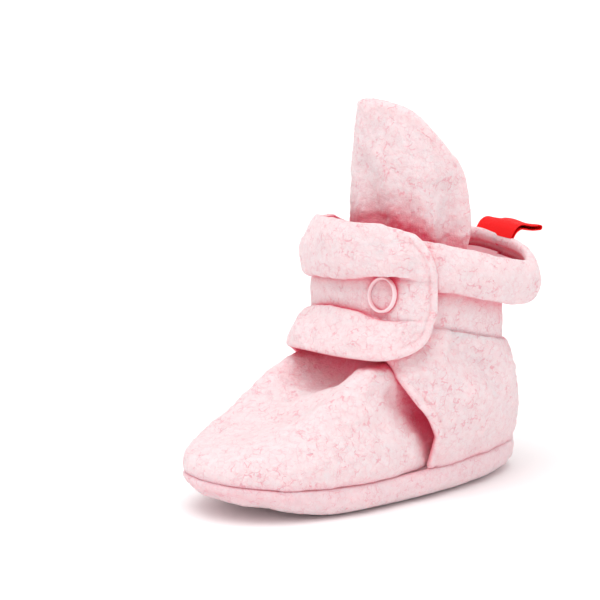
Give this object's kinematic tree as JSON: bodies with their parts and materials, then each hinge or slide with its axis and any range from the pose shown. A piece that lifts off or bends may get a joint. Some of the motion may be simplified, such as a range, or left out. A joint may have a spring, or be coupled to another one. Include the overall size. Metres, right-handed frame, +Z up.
{
  "type": "baby bootie",
  "caption": "Soft fleece baby bootie with padded sole, two wrap-over ankle flaps joined by a ring snap, tall tongue and a fabric tag at the back of the rim.",
  "frame": {"origin": "on the floor under the middle of the sole, on the flat the sole stands on", "axes": "+Z up, -Y towards the toe, +X towards the side on which the outer flap closes"},
  "size_m": [0.0623, 0.1181, 0.111],
  "materials": {
    "fleece": "brushed pile",
    "lining": "smooth knit",
    "elastic": "woven elastic",
    "thread": "matt",
    "snap": "satin enamel",
    "label": "satin ribbon"
  },
  "bodies": {
    "foot": {"sole_outer": "fleece", "sole_lining": "lining", "vamp_outer": "fleece", "vamp_lining": "lining", "quarter_outer": "fleece", "quarter_lining": "lining", "ankle_elastic": "elastic", "tongue_base_outer": "fleece", "tongue_base_lining": "lining", "quarter_stitch_top": "thread", "quarter_stitch_bottom": "thread"},
    "outer_flap": {"outer_flap_outer": "fleece", "outer_flap_lining": "lining", "outer_flap_stitch_top": "thread", "outer_flap_stitch_bottom": "thread", "snap_cap_ring": "snap", "snap_socket": "snap"},
    "under_flap": {"under_flap_outer": "fleece", "under_flap_lining": "lining", "under_flap_stitch_top": "thread", "under_flap_stitch_bottom": "thread", "snap_stud": "snap", "snap_stud_ring": "snap"},
    "tongue_tip": {"tongue_tip_outer": "fleece", "tongue_tip_lining": "lining"},
    "label": {"back_label": "label"}
  },
  "joints": [
    {"name": "outer_flap_open", "type": "hinge", "parent": "foot", "child": "outer_flap", "pos_m": [-0.0287, 0.007, 0.05], "axis": [0, 0, -1], "range_deg": [0, 110]},
    {"name": "under_flap_open", "type": "hinge", "parent": "foot", "child": "under_flap", "pos_m": [0.0278, 0.008, 0.05], "axis": [0, 0, 1], "range_deg": [0, 66.5]},
    {"name": "tongue_tip_fold", "type": "hinge", "parent": "foot", "child": "tongue_tip", "pos_m": [0, 0.0045, 0.082], "axis": [1, 0, 0], "range_deg": [0, 75]},
    {"name": "label_flex", "type": "hinge", "parent": "foot", "child": "label", "pos_m": [-0.001, 0.053, 0.069], "axis": [1, 0, 0], "range_deg": [-30, 40]}
  ],
  "couplings": [
    {"joint": "under_flap_open", "follows": "outer_flap_open", "ratio": 0.6}
  ]
}
